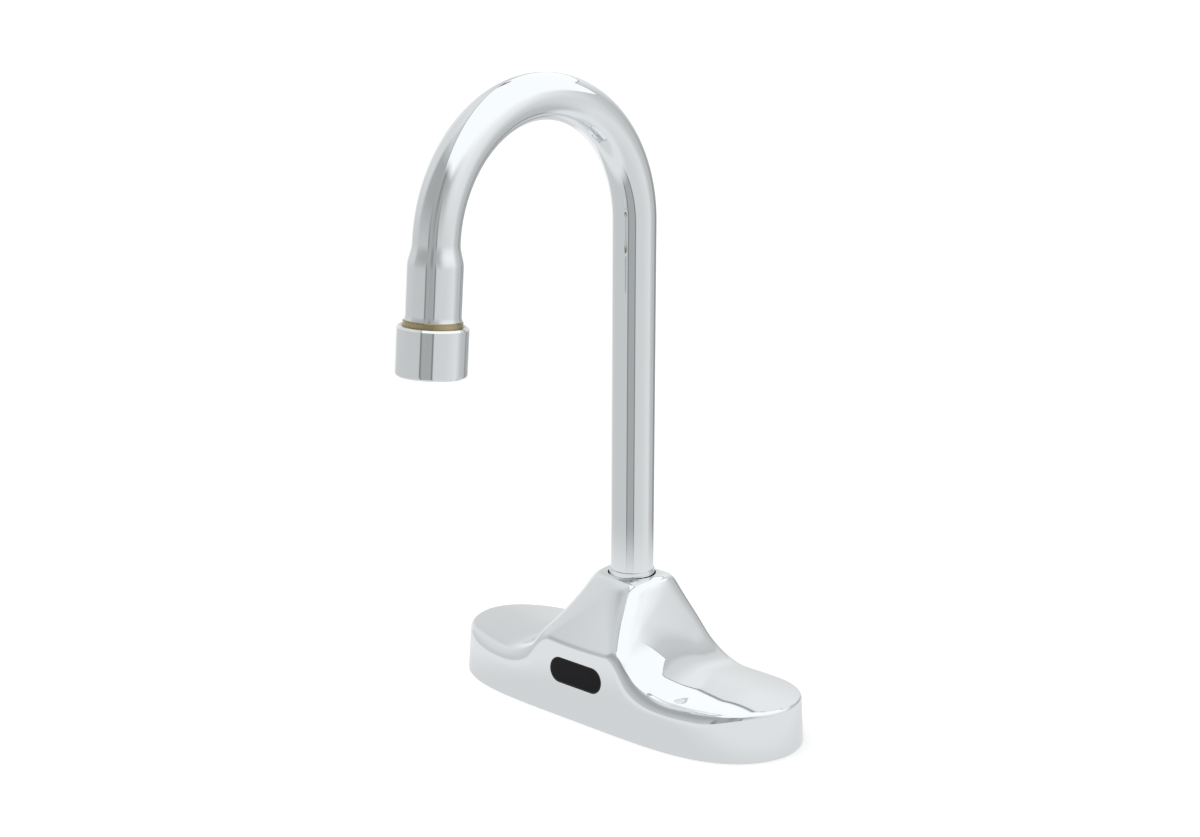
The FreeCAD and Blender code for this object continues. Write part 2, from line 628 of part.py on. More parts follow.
spout_stem = node(turned([
    ("stem_bore / 2", "stem_foot"),
    ("stem_diameter / 2", "stem_foot")] + groove + [
    ("stem_diameter / 2", "clip_low - slip_gap"),
    ("stem_diameter / 2 - clip_bite", "clip_low - slip_gap"),
    ("stem_diameter / 2 - clip_bite", f"{CLIP_TOP} + slip_gap"),
    ("stem_diameter / 2", f"{CLIP_TOP} + slip_gap"),
    ("stem_diameter / 2", FLANGE_LOW),
    ("flange_diameter / 2", FLANGE_LOW),
    ("flange_diameter / 2", FLANGE_TOP),
    ("tube_diameter / 2 - tube_wall - fit_gap / 2", FLANGE_TOP),
    ("tube_diameter / 2 - tube_wall - fit_gap / 2", f"{FLANGE_TOP} + spigot_height"),
    ("stem_bore / 2", f"{FLANGE_TOP} + spigot_height")]), "spout_stem")


def stem_seal(height):
    return bind(doc.addObject("Part::Torus", "Seal"), Placement__Base__z=height,
                Radius1=f"{SOCKET_BORE} - seal_section / 2",
                Radius2="seal_section / 2 - slip_gap / 4")


stem_o_rings = node(group([stem_seal(height) for height in seals]), "stem_o_rings")


# Gooseneck ------------------------------------------------------------------------------------

def bend(radius):
    """The gooseneck's arc, from the riser forwards and down, as part of a torus."""
    item = bind(doc.addObject("Part::Torus", "Bend"), Radius1="bend_radius", Radius2=radius,
                Angle3="bend_angle", Placement__Base__y="-bend_radius",
                Placement__Base__z="riser_top")
    item.Placement.Rotation = FreeCAD.Rotation(V(1, 1, 1), 120)
    return item


def cone(start, end, low, high):
    return bind(doc.addObject("Part::Cone", "Cone"), Radius1=start, Radius2=end,
                Height=f"({high}) - ({low})", Placement__Base__z=low)


def gooseneck(inset, spare):
    """Riser, bend and swaged neck as one solid, less a wall, running past its ends."""
    tube = f"(tube_diameter / 2 - {inset})"
    neck = f"(neck_diameter / 2 - {inset})"
    lip_start = "(neck_length - lip_length)"
    outlet = on_outlet(fuse([
        cone(tube, neck, "0", "swage_length"),
        cylinder(neck, "swage_length", lip_start),
        cone(neck, f"{neck} + lip_flare", lip_start, "neck_length")]
        + ([cylinder(neck, lip_start, "neck_length + lip_length")] if spare else [])))
    return fuse([cylinder(tube, f"{FLANGE_TOP} - {spare}", "riser_top"), bend(tube), outlet])


gooseneck_tube = node(cut(gooseneck("0", 0), [gooseneck("tube_wall", 1)]), "gooseneck_tube")

foot_ring = node(ring("foot_ring_diameter / 2", "tube_diameter / 2 + fit_gap / 2",
                      "collar_height + foot_ring_show - foot_ring_height",
                      "collar_height + foot_ring_show"), "spout_foot_ring")


# Outlet -----------------------------------------------------------------------------------------
# Distances run with the flow, from the end of the bend.

THREAD = "(thread_diameter / 2)"
SHOULDER_END = "(neck_length + nipple_shoulder)"
THREAD_END = f"({SHOULDER_END} + thread_length)"
HOUSING_END = f"({SHOULDER_END} + aerator_height)"
LIP_START = f"({HOUSING_END} - aerator_lip_height)"
GRID_START = f"({LIP_START} - grid_height)"
WASHER_END = f"({THREAD_END} + sealing_washer)"
REGULATOR_END = f"({WASHER_END} + regulator_height)"
SCREEN_END = f"({REGULATOR_END} + screen_height)"
NECK_BORE = "(neck_diameter / 2 - tube_wall)"
INSERT = f"({THREAD} - fit_gap)"

outlet_nipple = node(on_outlet(turned([
    ("nipple_bore / 2", "neck_length - nipple_spigot"),
    (f"{NECK_BORE} - fit_gap / 2", "neck_length - nipple_spigot"),
    (f"{NECK_BORE} - fit_gap / 2", "neck_length"),
    ("nipple_shoulder_diameter / 2", "neck_length"),
    ("nipple_shoulder_diameter / 2", SHOULDER_END),
    (f"{THREAD} - fit_gap", SHOULDER_END),
    (f"{THREAD} - fit_gap", THREAD_END),
    ("nipple_bore / 2", THREAD_END)])), "outlet_nipple")

aerator_rounding = [
    (f"aerator_diameter / 2 - aerator_round * (1 - cos({turn}))",
     f"{HOUSING_END} - aerator_round * (1 - sin({turn}))") for turn in (0, 22.5, 45, 67.5, 90)]
aerator_housing = node(on_outlet(turned([
    (THREAD, SHOULDER_END),
    ("aerator_diameter / 2 - aerator_chamfer", SHOULDER_END),
    ("aerator_diameter / 2", f"{SHOULDER_END} + aerator_chamfer")] + aerator_rounding + [
    (f"{THREAD} - aerator_lip", HOUSING_END),
    (f"{THREAD} - aerator_lip", LIP_START),
    (THREAD, LIP_START)])), "aerator_housing")

aerator_washer = node(on_outlet(group([
    ring(INSERT, "nipple_bore / 2", THREAD_END, WASHER_END)])), "aerator_washer")


def regulator_jets():
    """Eight jets on a circle."""
    count = 8
    return [cylinder("regulator_hole_diameter / 2", WASHER_END, REGULATOR_END,
                     x=f"regulator_circle / 2 * cos({360 * index / count})",
                     y=f"regulator_circle / 2 * sin({360 * index / count})")
            for index in range(count)]


flow_regulator = node(on_outlet(cut(cylinder(INSERT, WASHER_END, REGULATOR_END),
                                    regulator_jets())), "flow_regulator")

aerator_screen = node(on_outlet(perforated(INSERT, REGULATOR_END, SCREEN_END,
                                           "screen_hole_diameter / 2", "screen_pitch")),
                      "aerator_screen")

aerator_insert = node(on_outlet(fuse([
    ring(INSERT, f"{INSERT} - insert_wall", SCREEN_END, GRID_START),
    box(f"2 * {INSERT} - insert_wall", "insert_web", SCREEN_END, GRID_START),
    box("insert_web", f"2 * {INSERT} - insert_wall", SCREEN_END, GRID_START)])),
    "aerator_insert")

outlet_grid = node(on_outlet(perforated(INSERT, GRID_START, LIP_START,
                                        "grid_hole_diameter / 2", "grid_pitch")),
                   "outlet_grid")


# Check and write --------------------------------------------------------------------------------

doc.recompute()
for item in doc.Objects:
    faults = [state for state in item.State if state in ("Invalid", "Error")]
    if faults:
        raise ValueError(f"{item.Name} ({item.Label}) is {faults}")
os.makedirs("parts", exist_ok=True)
for item in NODES:
    if item.Shape.isNull() or not item.Shape.isValid() or not item.Shape.Solids:
        raise ValueError(f"{item.Label} has no valid solid")
for item in NODES:
    item.Shape.exportStep(f"parts/{item.Label}.step")
    print(f"{item.Label}: {len(item.Shape.Solids)} solid(s), {item.Shape.Volume:.0f} mm3")
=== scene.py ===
import bpy
import math
import numpy as np
from mathutils import Matrix, Vector


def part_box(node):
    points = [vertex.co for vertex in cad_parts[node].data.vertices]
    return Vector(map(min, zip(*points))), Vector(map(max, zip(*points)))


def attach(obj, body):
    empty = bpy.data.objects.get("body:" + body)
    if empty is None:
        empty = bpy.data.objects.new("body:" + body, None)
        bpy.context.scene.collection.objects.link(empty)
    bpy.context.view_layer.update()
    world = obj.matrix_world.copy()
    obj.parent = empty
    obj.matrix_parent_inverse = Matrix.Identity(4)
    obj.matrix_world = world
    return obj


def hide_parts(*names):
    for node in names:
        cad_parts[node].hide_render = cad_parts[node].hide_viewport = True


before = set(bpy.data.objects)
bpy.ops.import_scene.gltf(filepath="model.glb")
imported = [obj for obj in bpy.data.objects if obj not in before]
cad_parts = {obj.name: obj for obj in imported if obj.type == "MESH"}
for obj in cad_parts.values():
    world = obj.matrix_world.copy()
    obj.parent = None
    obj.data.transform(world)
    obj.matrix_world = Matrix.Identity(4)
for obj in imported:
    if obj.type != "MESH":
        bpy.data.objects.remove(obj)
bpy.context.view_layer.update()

# Camera --------------------------------------------------------------------------------
# It stands at the tap's front right, a little above it, and sees it through a long lens.
# A slight tilt and shift set the tap in the picture.
azimuth, pitch, tilt = (math.radians(angle) for angle in (43.29, 14.43, 0.15))
aim_height, distance = 0.12, 0.74976
shift_right, shift_up = -0.01192, -0.01176

right = Vector((math.cos(azimuth), math.sin(azimuth), 0))
back = Vector((math.sin(azimuth) * math.cos(pitch), -math.cos(azimuth) * math.cos(pitch),
               math.sin(pitch)))
up = back.cross(right)
place = (Vector((0, 0, aim_height)) + right * shift_right + up * shift_up
         + back * distance)
right = right * math.cos(tilt) + up * math.sin(tilt)
up = back.cross(right)
bpy.ops.object.camera_add()
camera = bpy.context.object
camera.name = "camera"
camera.data.lens = 62.43
camera.data.sensor_width = 36
camera.data.clip_start = 0.01
camera.matrix_world = Matrix([(right[i], up[i], back[i], place[i]) for i in range(3)]
                             + [(0, 0, 0, 1)])
bpy.context.scene.camera = camera
bpy.context.scene.view_settings.view_transform = "Standard"

# Studio --------------------------------------------------------------------------------
# The backdrop is white. Polished metal mirrors a tent of pale greys with a softbox in its
# roof. The tent is open in a strip towards the camera, and the gap at the back is darker.
fill_light, backdrop_white = 0.72, 1.0
middle_rise, top_rise = (-8, 24), (46, 58)
brightest_stop = 2.0

studio = bpy.data.worlds.new("studio")
bpy.context.scene.world = studio
studio.use_nodes = True
tree = studio.node_tree
tree.nodes.clear()


def calculate(tree, operation, first, second=0.0, third=0.0):
    """A Math node on sockets or numbers."""
    node = tree.nodes.new("ShaderNodeMath")
    node.operation = operation
    for socket, value in zip(node.inputs, (first, second, third)):
        if isinstance(value, bpy.types.NodeSocket):
            tree.links.new(value, socket)
        else:
            socket.default_value = value
    return node.outputs[0]


def climb(tree, value, low, high, start=0.0, end=1.0, kind="LINEAR"):
    """Goes from start, where the value is low, to end, where it is high."""
    node = tree.nodes.new("ShaderNodeMapRange")
    node.interpolation_type = kind
    tree.links.new(value, node.inputs["Value"])
    for name, number in (("From Min", low), ("From Max", high), ("To Min", start),
                         ("To Max", end)):
        node.inputs[name].default_value = number
    return node.outputs["Result"]


def past(tree, value, edge, soft):
    """A mask that is 1 past a soft edge and 0 before it."""
    return climb(tree, value, edge - soft, edge + soft, kind="SMOOTHSTEP")


def short_of(tree, value, edge, soft):
    """A mask that is 1 before a soft edge and 0 past it."""
    return climb(tree, value, edge - soft, edge + soft, start=1.0, end=0.0,
                 kind="SMOOTHSTEP")


def blend(tree, value, target, mask):
    """The value, drawn to the target where the mask is 1."""
    difference = calculate(tree, "SUBTRACT", target, value)
    return calculate(tree, "MULTIPLY_ADD", difference, mask, value)


def split(tree, vector):
    """The three parts of a vector."""
    node = tree.nodes.new("ShaderNodeSeparateXYZ")
    tree.links.new(vector, node.inputs[0])
    return node.outputs


direction = tree.nodes.new("ShaderNodeTexCoord").outputs["Generated"]
east, north, height = split(tree, direction)
south = calculate(tree, "MULTIPLY", north, -1.0)
turn = calculate(tree, "ARCTAN2", east, south)
rise = calculate(tree, "MULTIPLY", calculate(tree, "ARCSINE", height), 180 / math.pi)
round_share = calculate(tree, "MULTIPLY_ADD", turn, 0.5 / math.pi, 0.5)


def brightness_round(stops):
    """Brightness by the turn from the front, in degrees, from -180 to 180."""
    ramp = tree.nodes.new("ShaderNodeValToRGB")
    elements = ramp.color_ramp.elements
    elements.remove(elements[1])
    for number, (angle, level) in enumerate(stops):
        share = (angle + 180) / 360
        element = elements.new(share) if number else elements[0]
        element.position = share
        element.color = (*[level / brightest_stop] * 3, 1)
    tree.links.new(round_share, ramp.inputs[0])
    return calculate(tree, "MULTIPLY", ramp.outputs[0], brightest_stop)


# The tent's wall: its lower part, its middle and its top.
low_wall = brightness_round([
    (-180, 0.34), (-162, 0.34), (-158, 0.70), (-130, 0.80), (-124, 1.05), (-102, 1.05),
    (-94, 0.72), (-60, 0.69), (9, 0.69), (11, 0.26), (14, 0.26), (17, 0.47), (46, 0.47),
    (48, 0.26), (51, 0.26), (53, 0.76), (90, 0.78), (130, 0.88), (150, 0.62),
    (171, 0.58), (174, 0.34), (180, 0.34)])
middle_wall = brightness_round([
    (-180, 0.78), (-170, 0.82), (-156, 0.98), (-142, 0.98), (-134, 0.76), (-126, 0.74),
    (-117, 0.86), (-102, 0.88), (-94, 0.84), (-58, 0.82), (-50, 0.72), (-40, 0.48),
    (0, 0.46), (26, 0.48), (30, 0.34), (37, 0.34), (42, 0.48), (66, 0.56), (84, 0.95),
    (100, 1.10), (130, 1.15), (140, 0.96), (154, 0.72), (174, 0.64), (180, 0.78)])
top_wall = brightness_round([
    (-180, 1.05), (-140, 0.98), (-115, 0.92), (-80, 0.90), (-55, 0.84), (-40, 0.74),
    (0, 0.70), (35, 0.72), (60, 0.86), (85, 1.20), (150, 1.22), (180, 1.05)])
glow = blend(tree, low_wall, middle_wall, climb(tree, rise, *middle_rise))
glow = blend(tree, glow, top_wall, climb(tree, rise, *top_rise))

path = tree.nodes.new("ShaderNodeLightPath")
glow = blend(tree, fill_light, glow, path.outputs["Is Glossy Ray"])
glow = blend(tree, glow, backdrop_white, path.outputs["Is Camera Ray"])
background = tree.nodes.new("ShaderNodeBackground")
background.inputs["Color"].default_value = (1, 1, 1, 1)
tree.links.new(glow, background.inputs["Strength"])
output = tree.nodes.new("ShaderNodeOutputWorld")
tree.links.new(background.outputs[0], output.inputs["Surface"])


def stage_panel(name, low, high, level, build):
    """A flat piece of the studio between two corners, with a material wired by build()."""
    bpy.ops.mesh.primitive_plane_add(size=1)
    panel = bpy.context.object
    panel.name = name
    panel.scale = (high[0] - low[0], high[1] - low[1], 1)
    panel.location = ((low[0] + high[0]) / 2, (low[1] + high[1]) / 2, level)
    bpy.ops.object.transform_apply(location=True, scale=True)
    material = bpy.data.materials.new(name)
    material.use_nodes = True
    tree = material.node_tree
    tree.nodes.clear()
    output = tree.nodes.new("ShaderNodeOutputMaterial")
    tree.links.new(build(tree), output.inputs["Surface"])
    panel.data.materials.append(material)
    return panel


def mirrored_only(panel):
    """Shows a panel in polished metal alone."""
    panel.visible_camera = False
    panel.visible_diffuse = False
    panel.visible_shadow = False


floor_grey, floor_lift, floor_level = 0.75, 0.40, -0.0003


def pale_floor(tree):
    """A white floor that keeps a faint shadow."""
    diffuse = tree.nodes.new("ShaderNodeBsdfDiffuse")
    diffuse.inputs["Color"].default_value = (*[floor_grey] * 3, 1)
    lift = tree.nodes.new("ShaderNodeEmission")
    path = tree.nodes.new("ShaderNodeLightPath")
    tree.links.new(calculate(tree, "MULTIPLY", path.outputs["Is Camera Ray"], floor_lift),
                   lift.inputs["Strength"])
    add = tree.nodes.new("ShaderNodeAddShader")
    tree.links.new(diffuse.outputs[0], add.inputs[0])
    tree.links.new(lift.outputs[0], add.inputs[1])
    return add.outputs[0]


floor = stage_panel("floor", low=(-20, -20), high=(20, 20), level=floor_level,
                    build=pale_floor)
floor.visible_glossy = False


def place_in(tree):
    """Where a point of a panel lies, along x and y."""
    return split(tree, tree.nodes.new("ShaderNodeTexCoord").outputs["Object"])[:2]


def reach_of(tree, x, y):
    """How far from the middle a point lies."""
    squares = [calculate(tree, "MULTIPLY", part, part) for part in (x, y)]
    return calculate(tree, "SQRT", calculate(tree, "ADD", *squares))


def seen_where(tree, mask, level):
    """A glow of a level where the mask is 1, and nothing elsewhere."""
    glow = tree.nodes.new("ShaderNodeEmission")
    tree.links.new(level, glow.inputs["Strength"])
    mix = tree.nodes.new("ShaderNodeMixShader")
    tree.links.new(mask, mix.inputs[0])
    tree.links.new(tree.nodes.new("ShaderNodeBsdfTransparent").outputs[0], mix.inputs[1])
    tree.links.new(glow.outputs[0], mix.inputs[2])
    return mix.outputs[0]


# Only the chrome sees this floor. It glows as a painted reflection of the lit floor, and is
# darker under the tap as a painted shadow.
near_floor, shadow_under_tap, mirror_level = 0.92, 0.80, -0.0006
shadow_reach, shadow_soft, floor_reach, floor_soft = 0.085, 0.02, 0.19, 0.05


def mirrored_floor(tree):
    """The floor near the tap as the chrome sees it: a painted reflection that glows, with a
    painted shadow under the tap. Further out the tent's wall shows.
    """
    away = reach_of(tree, *place_in(tree))
    painted_shadow = short_of(tree, away, shadow_reach, shadow_soft)
    return seen_where(tree, short_of(tree, away, floor_reach, floor_soft),
                      blend(tree, near_floor, shadow_under_tap, painted_shadow))


mirrored_only(stage_panel("mirrored_floor", low=(-0.4, -0.4), high=(0.4, 0.4),
                          level=mirror_level, build=mirrored_floor))

# The softbox's cloth has a dark frame along its left edge, which runs aslant, and along its
# back edge, which bows away to both sides. Its front and right edges fade out.
cloth_height, cloth_glow, frame_glow, frame_width, crisp = 0.54, 1.20, 0.30, 0.012, 0.003
left_edge, left_slant, left_frame_end, left_frame_soft = 0.20, 0.74, 0.0, 0.04
back_edge, west_bow, east_bow, east_bow_start, most_east_bow = 0.462, 0.56, 2.5, 0.04, 0.34
right_edge, right_soft, front_edge, front_soft = 0.62, 0.22, -0.40, 0.07
spot_x, spot_y, spot_length, spot_width, spot_soft, spot_glow = (
    -0.31, 0.14, 0.07, 0.04, 0.15, 0.12)


def softbox_light(tree):
    """A bright cloth overhead, with a small dark spot at its left."""
    x, y = place_in(tree)
    left = calculate(tree, "MULTIPLY_ADD", y, left_slant, left_edge)
    left = calculate(tree, "ADD", left, x)
    west = calculate(tree, "MAXIMUM", calculate(tree, "MULTIPLY", x, -1.0), 0.0)
    east = calculate(tree, "SUBTRACT", x, east_bow_start)
    east = calculate(tree, "MAXIMUM", east, 0.0)
    east = calculate(tree, "MULTIPLY", east, east_bow)
    bow = calculate(tree, "MULTIPLY_ADD", west, west_bow, back_edge)
    bow = calculate(tree, "ADD", bow, calculate(tree, "MINIMUM", east, most_east_bow))
    behind = calculate(tree, "SUBTRACT", bow, y)
    soft = calculate(tree, "MULTIPLY", short_of(tree, x, right_edge, right_soft),
                     past(tree, y, front_edge, front_soft))
    across = calculate(tree, "MULTIPLY", calculate(tree, "SUBTRACT", x, spot_x),
                       1 / spot_length)
    along = calculate(tree, "MULTIPLY", calculate(tree, "SUBTRACT", y, spot_y),
                      1 / spot_width)
    dark_spot = short_of(tree, reach_of(tree, across, along), 1, spot_soft)
    framed = short_of(tree, y, left_frame_end, left_frame_soft)

    def cloth(margin):
        edge = calculate(tree, "MULTIPLY_ADD", framed, margin, left)
        return calculate(tree, "MULTIPLY", past(tree, edge, 0, crisp),
                         past(tree, behind, -margin, crisp))

    level = blend(tree, frame_glow, cloth_glow, cloth(0))
    return seen_where(tree, calculate(tree, "MULTIPLY", cloth(frame_width), soft),
                      blend(tree, level, spot_glow, dark_spot))


mirrored_only(stage_panel("softbox", low=(-1.2, -1.2), high=(1.4, 1.4),
                          level=cloth_height, build=softbox_light))

# One broad lamp overhead, a little to the front left, lights what isn't polished.
bpy.ops.object.light_add(type="SUN", rotation=(math.radians(12), math.radians(-18), 0))
lamp = bpy.context.object
lamp.data.energy = 1.0
lamp.data.angle = math.radians(50)
lamp.visible_glossy = False

# Chromed base --------------------------------------------------------------------------
# One hollow zinc casting, ground, polished and chromed. Its hump sweeps into two low wings
# whose front edges are rolled. The skin is laid on as rings round the collar's hole.

# Sizes are in millimetres. A pair is where a change begins and where it is complete.
half_length, half_depth, forward, draft = 75.95, 29.7, 1.3, math.tan(math.radians(3))
end_power, side_power, least_slope = 4.4, 1.9, 0.02
wing_top, collar_top, collar_half, hole_radius = 18.0, 49.6, 10.6, 8.9
front_crown, rear_crown, wing_droop, droop_span = 800, 220, 0.6, (55, 80)
flank_half, flank_top, flank_slope, flank_bow = 13.3, 49.996, 0.27, 240
rear_sweep, wider_sweep, sweep_span = 16, 13, (-14, 16)
front_slope, front_bow, rear_slope = 0.869, 0.002, 0.5
front_ridge, wider_front, rear_ridge, wider_rear, ridge_span = 5, 10, 6, 3, (26, 46)
collar_roll, edge_roll, roll_span = 4.0, 1.0, (-24, -6)
roll_changes = ((8.5, 14, 26), (-2.5, 27, 42), (-5.0, 54, 72))


def gap_to_walls(x, y, z):
    """Distance out of the drafted side walls, whose plan is a superellipse."""
    length = half_length - z * draft
    depth = half_depth - z * draft
    along, across = np.abs(x) / length, np.abs(y + forward) / depth
    level = along ** end_power + across ** side_power
    slope_x = end_power * along ** (end_power - 1) / length
    slope_y = side_power * across ** (side_power - 1) / depth
    slope_z = draft * (end_power * along ** end_power / length
                       + side_power * across ** side_power / depth)
    slope = np.sqrt(slope_x ** 2 + slope_y ** 2 + slope_z ** 2)
    return (level - 1) / np.maximum(slope, least_slope)


def softly_rolled(first, second, width):
    """The larger of two gaps, so that one surface rolls into the other over a width."""
    near = np.maximum(width - np.abs(first - second), 0) / width
    return np.maximum(first, second) + near ** 3 * width / 6


def swept(first, second, radius, cosine):
    """The smaller of two gaps, joined by a hollow sweep of a radius."""
    a, b = first - radius, second - radius
    inside = (a - b * cosine < 0) & (b - a * cosine < 0)
    reach = np.sqrt(np.maximum(a * a + b * b - 2 * a * b * cosine, 0))
    reach = reach / math.sqrt(1 - cosine ** 2)
    return np.where(inside, radius - reach, np.minimum(first, second))


def step_up(value, low, high):
    """A smooth step from 0 at low to 1 at high."""
    part = np.clip((value - low) / (high - low), 0, 1)
    return part * part * (3 - 2 * part)


def gap_to_casting(x, y, z):
    """Distance out of the casting's skin."""
    side = np.abs(x)
    ahead = -(y + forward)
    lean = math.atan(flank_slope)
    flank_rise = flank_top - z - ahead ** 2 / flank_bow
    flank = (side - flank_half - flank_slope * flank_rise) * math.cos(lean)
    crown = ahead ** 2 / np.where(ahead > 0, front_crown, rear_crown)
    wing = z - wing_top + crown + wing_droop * step_up(side, *droop_span)
    sweep = rear_sweep + wider_sweep * step_up(ahead, *sweep_span)
    form = swept(flank, wing, sweep, math.sin(lean))
    front_rise = collar_top + front_bow * side ** 2 - z
    front = (ahead + forward - collar_half
             - front_slope * front_rise) / math.hypot(1, front_slope)
    rear = (y - collar_half
            - rear_slope * (collar_top - z)) / math.hypot(1, rear_slope)
    high = step_up(z, *ridge_span)
    form = softly_rolled(form, front, front_ridge + wider_front * high)
    form = softly_rolled(form, rear, rear_ridge + wider_rear * high)
    form = softly_rolled(form, z - collar_top, collar_roll)
    wider_roll = sum(change * step_up(side, *span) for change, *span in roll_changes)
    rolled = edge_roll + wider_roll * step_up(ahead, *roll_span)
    return softly_rolled(form, gap_to_walls(x, y, z), rolled)


def slope_of_casting(x, y, z, step=0.01):
    """The way out of the skin, as a vector of length 1."""
    parts = [gap_to_casting(x + step * a, y + step * b, z + step * c)
             - gap_to_casting(x - step * a, y - step * b, z - step * c)
             for a, b, c in ((1, 0, 0), (0, 1, 0), (0, 0, 1))]
    parts = np.stack(parts, -1)
    return parts / np.linalg.norm(parts, axis=-1, keepdims=True)


def reach_to_skin(is_outside, furthest, halvings):
    """Halves the way from nought to the furthest reach until it ends on the skin."""
    inner, outer = np.zeros_like(furthest), furthest
    for _ in range(halvings):
        middle = (inner + outer) / 2
        outside = is_outside(middle)
        inner = np.where(outside, inner, middle)
        outer = np.where(outside, middle, outer)
    return inner


def casting_rings(columns, rings, samples=420, heart=4.0, spacing=1.0,
                  bend_apart=math.radians(3), past_foot=120.0, past_skin=130.0):
    """Points of the skin, ring by ring from the collar's hole down to the deck.

    They lie on rays from the casting's heart, closer together where the skin bends.
    """
    turn = np.linspace(0, 2 * math.pi, columns, endpoint=False)[:, None]
    foot = reach_to_skin(
        lambda reach: gap_to_walls(reach * np.cos(turn), reach * np.sin(turn), 0) > 0,
        furthest=np.full((columns, 1), past_foot), halvings=40)
    start = math.atan2(hole_radius, collar_top - heart)
    end = math.pi - np.arctan2(foot, heart)

    def along(part):
        angle = start + (end - start) * part
        out, upwards = np.sin(angle), np.cos(angle)
        ray = reach_to_skin(
            lambda ray: gap_to_casting(ray * out * np.cos(turn), ray * out * np.sin(turn),
                                       heart + ray * upwards) > 0,
            furthest=np.full_like(angle, past_skin), halvings=26)
        return ray * out, heart + ray * upwards

    share = np.linspace(0, 1, samples)[None, :]
    reach, height = along(share * np.ones((columns, 1)))
    steps = np.hypot(np.diff(reach), np.diff(height))
    heading = np.unwrap(np.arctan2(np.diff(height), np.diff(reach)))
    bend = np.abs(np.diff(heading, prepend=heading[:, :1]))
    weight = steps / spacing + bend / bend_apart
    weight = (weight + np.roll(weight, 1, 0) + np.roll(weight, -1, 0)) / 3
    total = np.concatenate([np.zeros((columns, 1)), np.cumsum(weight, 1)], 1)
    total /= total[:, -1:]
    wanted = np.linspace(0, 1, rings)
    part = np.stack([np.interp(wanted, total[i], share[0]) for i in range(columns)])
    reach, height = along(part)
    height[:, 0], reach[:, 0] = collar_top, hole_radius
    height[:, -1], reach[:, -1] = 0, foot[:, 0]
    return np.stack([reach * np.cos(turn), reach * np.sin(turn), height], -1)


def pick(*pieces):
    """Selects these pieces alone. The last one is active."""
    bpy.ops.object.select_all(action="DESELECT")
    for piece in pieces:
        piece.select_set(True)
    bpy.context.view_layer.objects.active = pieces[-1]


def edit_all(operator, **settings):
    """Runs an operator on the active piece's whole mesh."""
    bpy.ops.object.mode_set(mode="EDIT")
    bpy.ops.mesh.select_all(action="SELECT")
    operator(**settings)
    bpy.ops.object.mode_set(mode="OBJECT")


def modify(piece, kind, **settings):
    """Adds a modifier and applies it."""
    modifier = piece.modifiers.new(kind, kind)
    for name, value in settings.items():
        setattr(modifier, name, value)
    bpy.ops.object.modifier_apply(modifier=modifier.name)


def new_piece(name, corners, faces):
    """A picked piece with a mesh of these corners and faces."""
    mesh = bpy.data.meshes.new(name)
    mesh.from_pydata(corners, [], faces)
    piece = bpy.data.objects.new(name, mesh)
    bpy.context.collection.objects.link(piece)
    pick(piece)
    return piece


def skin_on(name, points, closed=False):
    """A mesh over rings of points, in metres. Closed, it has a top and a bottom."""
    columns, rings = points.shape[:2]
    faces = [(i * rings + j, i * rings + j + 1, (i + 1) % columns * rings + j + 1,
              (i + 1) % columns * rings + j)
             for i in range(columns) for j in range(rings - 1)]
    if closed:
        faces.append([i * rings for i in range(columns)])
        faces.append([(columns - 1 - i) * rings + rings - 1 for i in range(columns)])
    return new_piece(name, (points.reshape(-1, 3) / 1000).tolist(), faces)


def carve(piece, tool, operation):
    """Cuts the piece with the tool, or keeps what is inside the tool."""
    pick(piece)
    modify(piece, "BOOLEAN", operation=operation, solver="MANIFOLD", object=tool)
    bpy.data.objects.remove(tool, do_unlink=True)
    if not piece.data.polygons:
        raise ValueError(f"{piece.name} is empty after {operation}")


skin_thickness, inner_gap, below_deck, inner_faces_kept = 0.8, 0.6, -1.0, 0.3
skin = casting_rings(columns=348, rings=112)
casting = skin_on("polished_casting", skin)
modify(casting, "SOLIDIFY", thickness=skin_thickness / 1000, offset=-1)
edit_all(bpy.ops.mesh.normals_make_consistent, inside=False)
for vertex in casting.data.vertices:
    vertex.co.z = max(vertex.co.z, 0)

# The window's opening, square to the leaning front wall.
slot_half, slot_radius, slot_height, slot_ends, end_points = 8.0, 4.8, 17.4, (-4, 9), 33
angles = np.linspace(-math.pi / 2, math.pi / 2, end_points)
rim = [(end * (slot_half + slot_radius * math.cos(angle)),
        end * slot_radius * math.sin(angle)) for end in (1, -1) for angle in angles]
inwards = Vector((0, 1, -draft)).normalized()
upwards = Vector((0, draft, 1)).normalized()
seat = Vector((0, -(half_depth + forward - slot_height * draft), slot_height))
corners = [(seat + Vector((u, 0, 0)) + upwards * v + inwards * depth) / 1000
           for depth in slot_ends for u, v in rim]
count = len(rim)
sides = [(i, (i + 1) % count, count + (i + 1) % count, count + i) for i in range(count)]
ends = [list(range(count - 1, -1, -1)), list(range(count, 2 * count))]
opening = new_piece("opening", corners, sides + ends)
edit_all(bpy.ops.mesh.normals_make_consistent, inside=False)
carve(casting, opening, "DIFFERENCE")

# Inside, the casting keeps its walls, bosses and bores, up to a limit just under the skin.
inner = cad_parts["base_body"].copy()
inner.data = inner.data.copy()
bpy.context.collection.objects.link(inner)
pick(inner)
edit_all(bpy.ops.mesh.remove_doubles, threshold=1e-7)
limit = skin - inner_gap * slope_of_casting(*np.moveaxis(skin, -1, 0))
limit[:, 0, 2] = collar_top - inner_gap
limit[:, -1, 2] = below_deck
inner_limit = skin_on("inner_limit", limit, closed=True)
edit_all(bpy.ops.mesh.normals_make_consistent, inside=False)
carve(inner, inner_limit, "INTERSECT")
modify(inner, "DECIMATE", ratio=inner_faces_kept)

for part in (inner, casting):
    part.data.materials.clear()
pick(inner, casting)
bpy.ops.object.join()
bpy.ops.object.shade_smooth_by_angle(angle=math.radians(30))

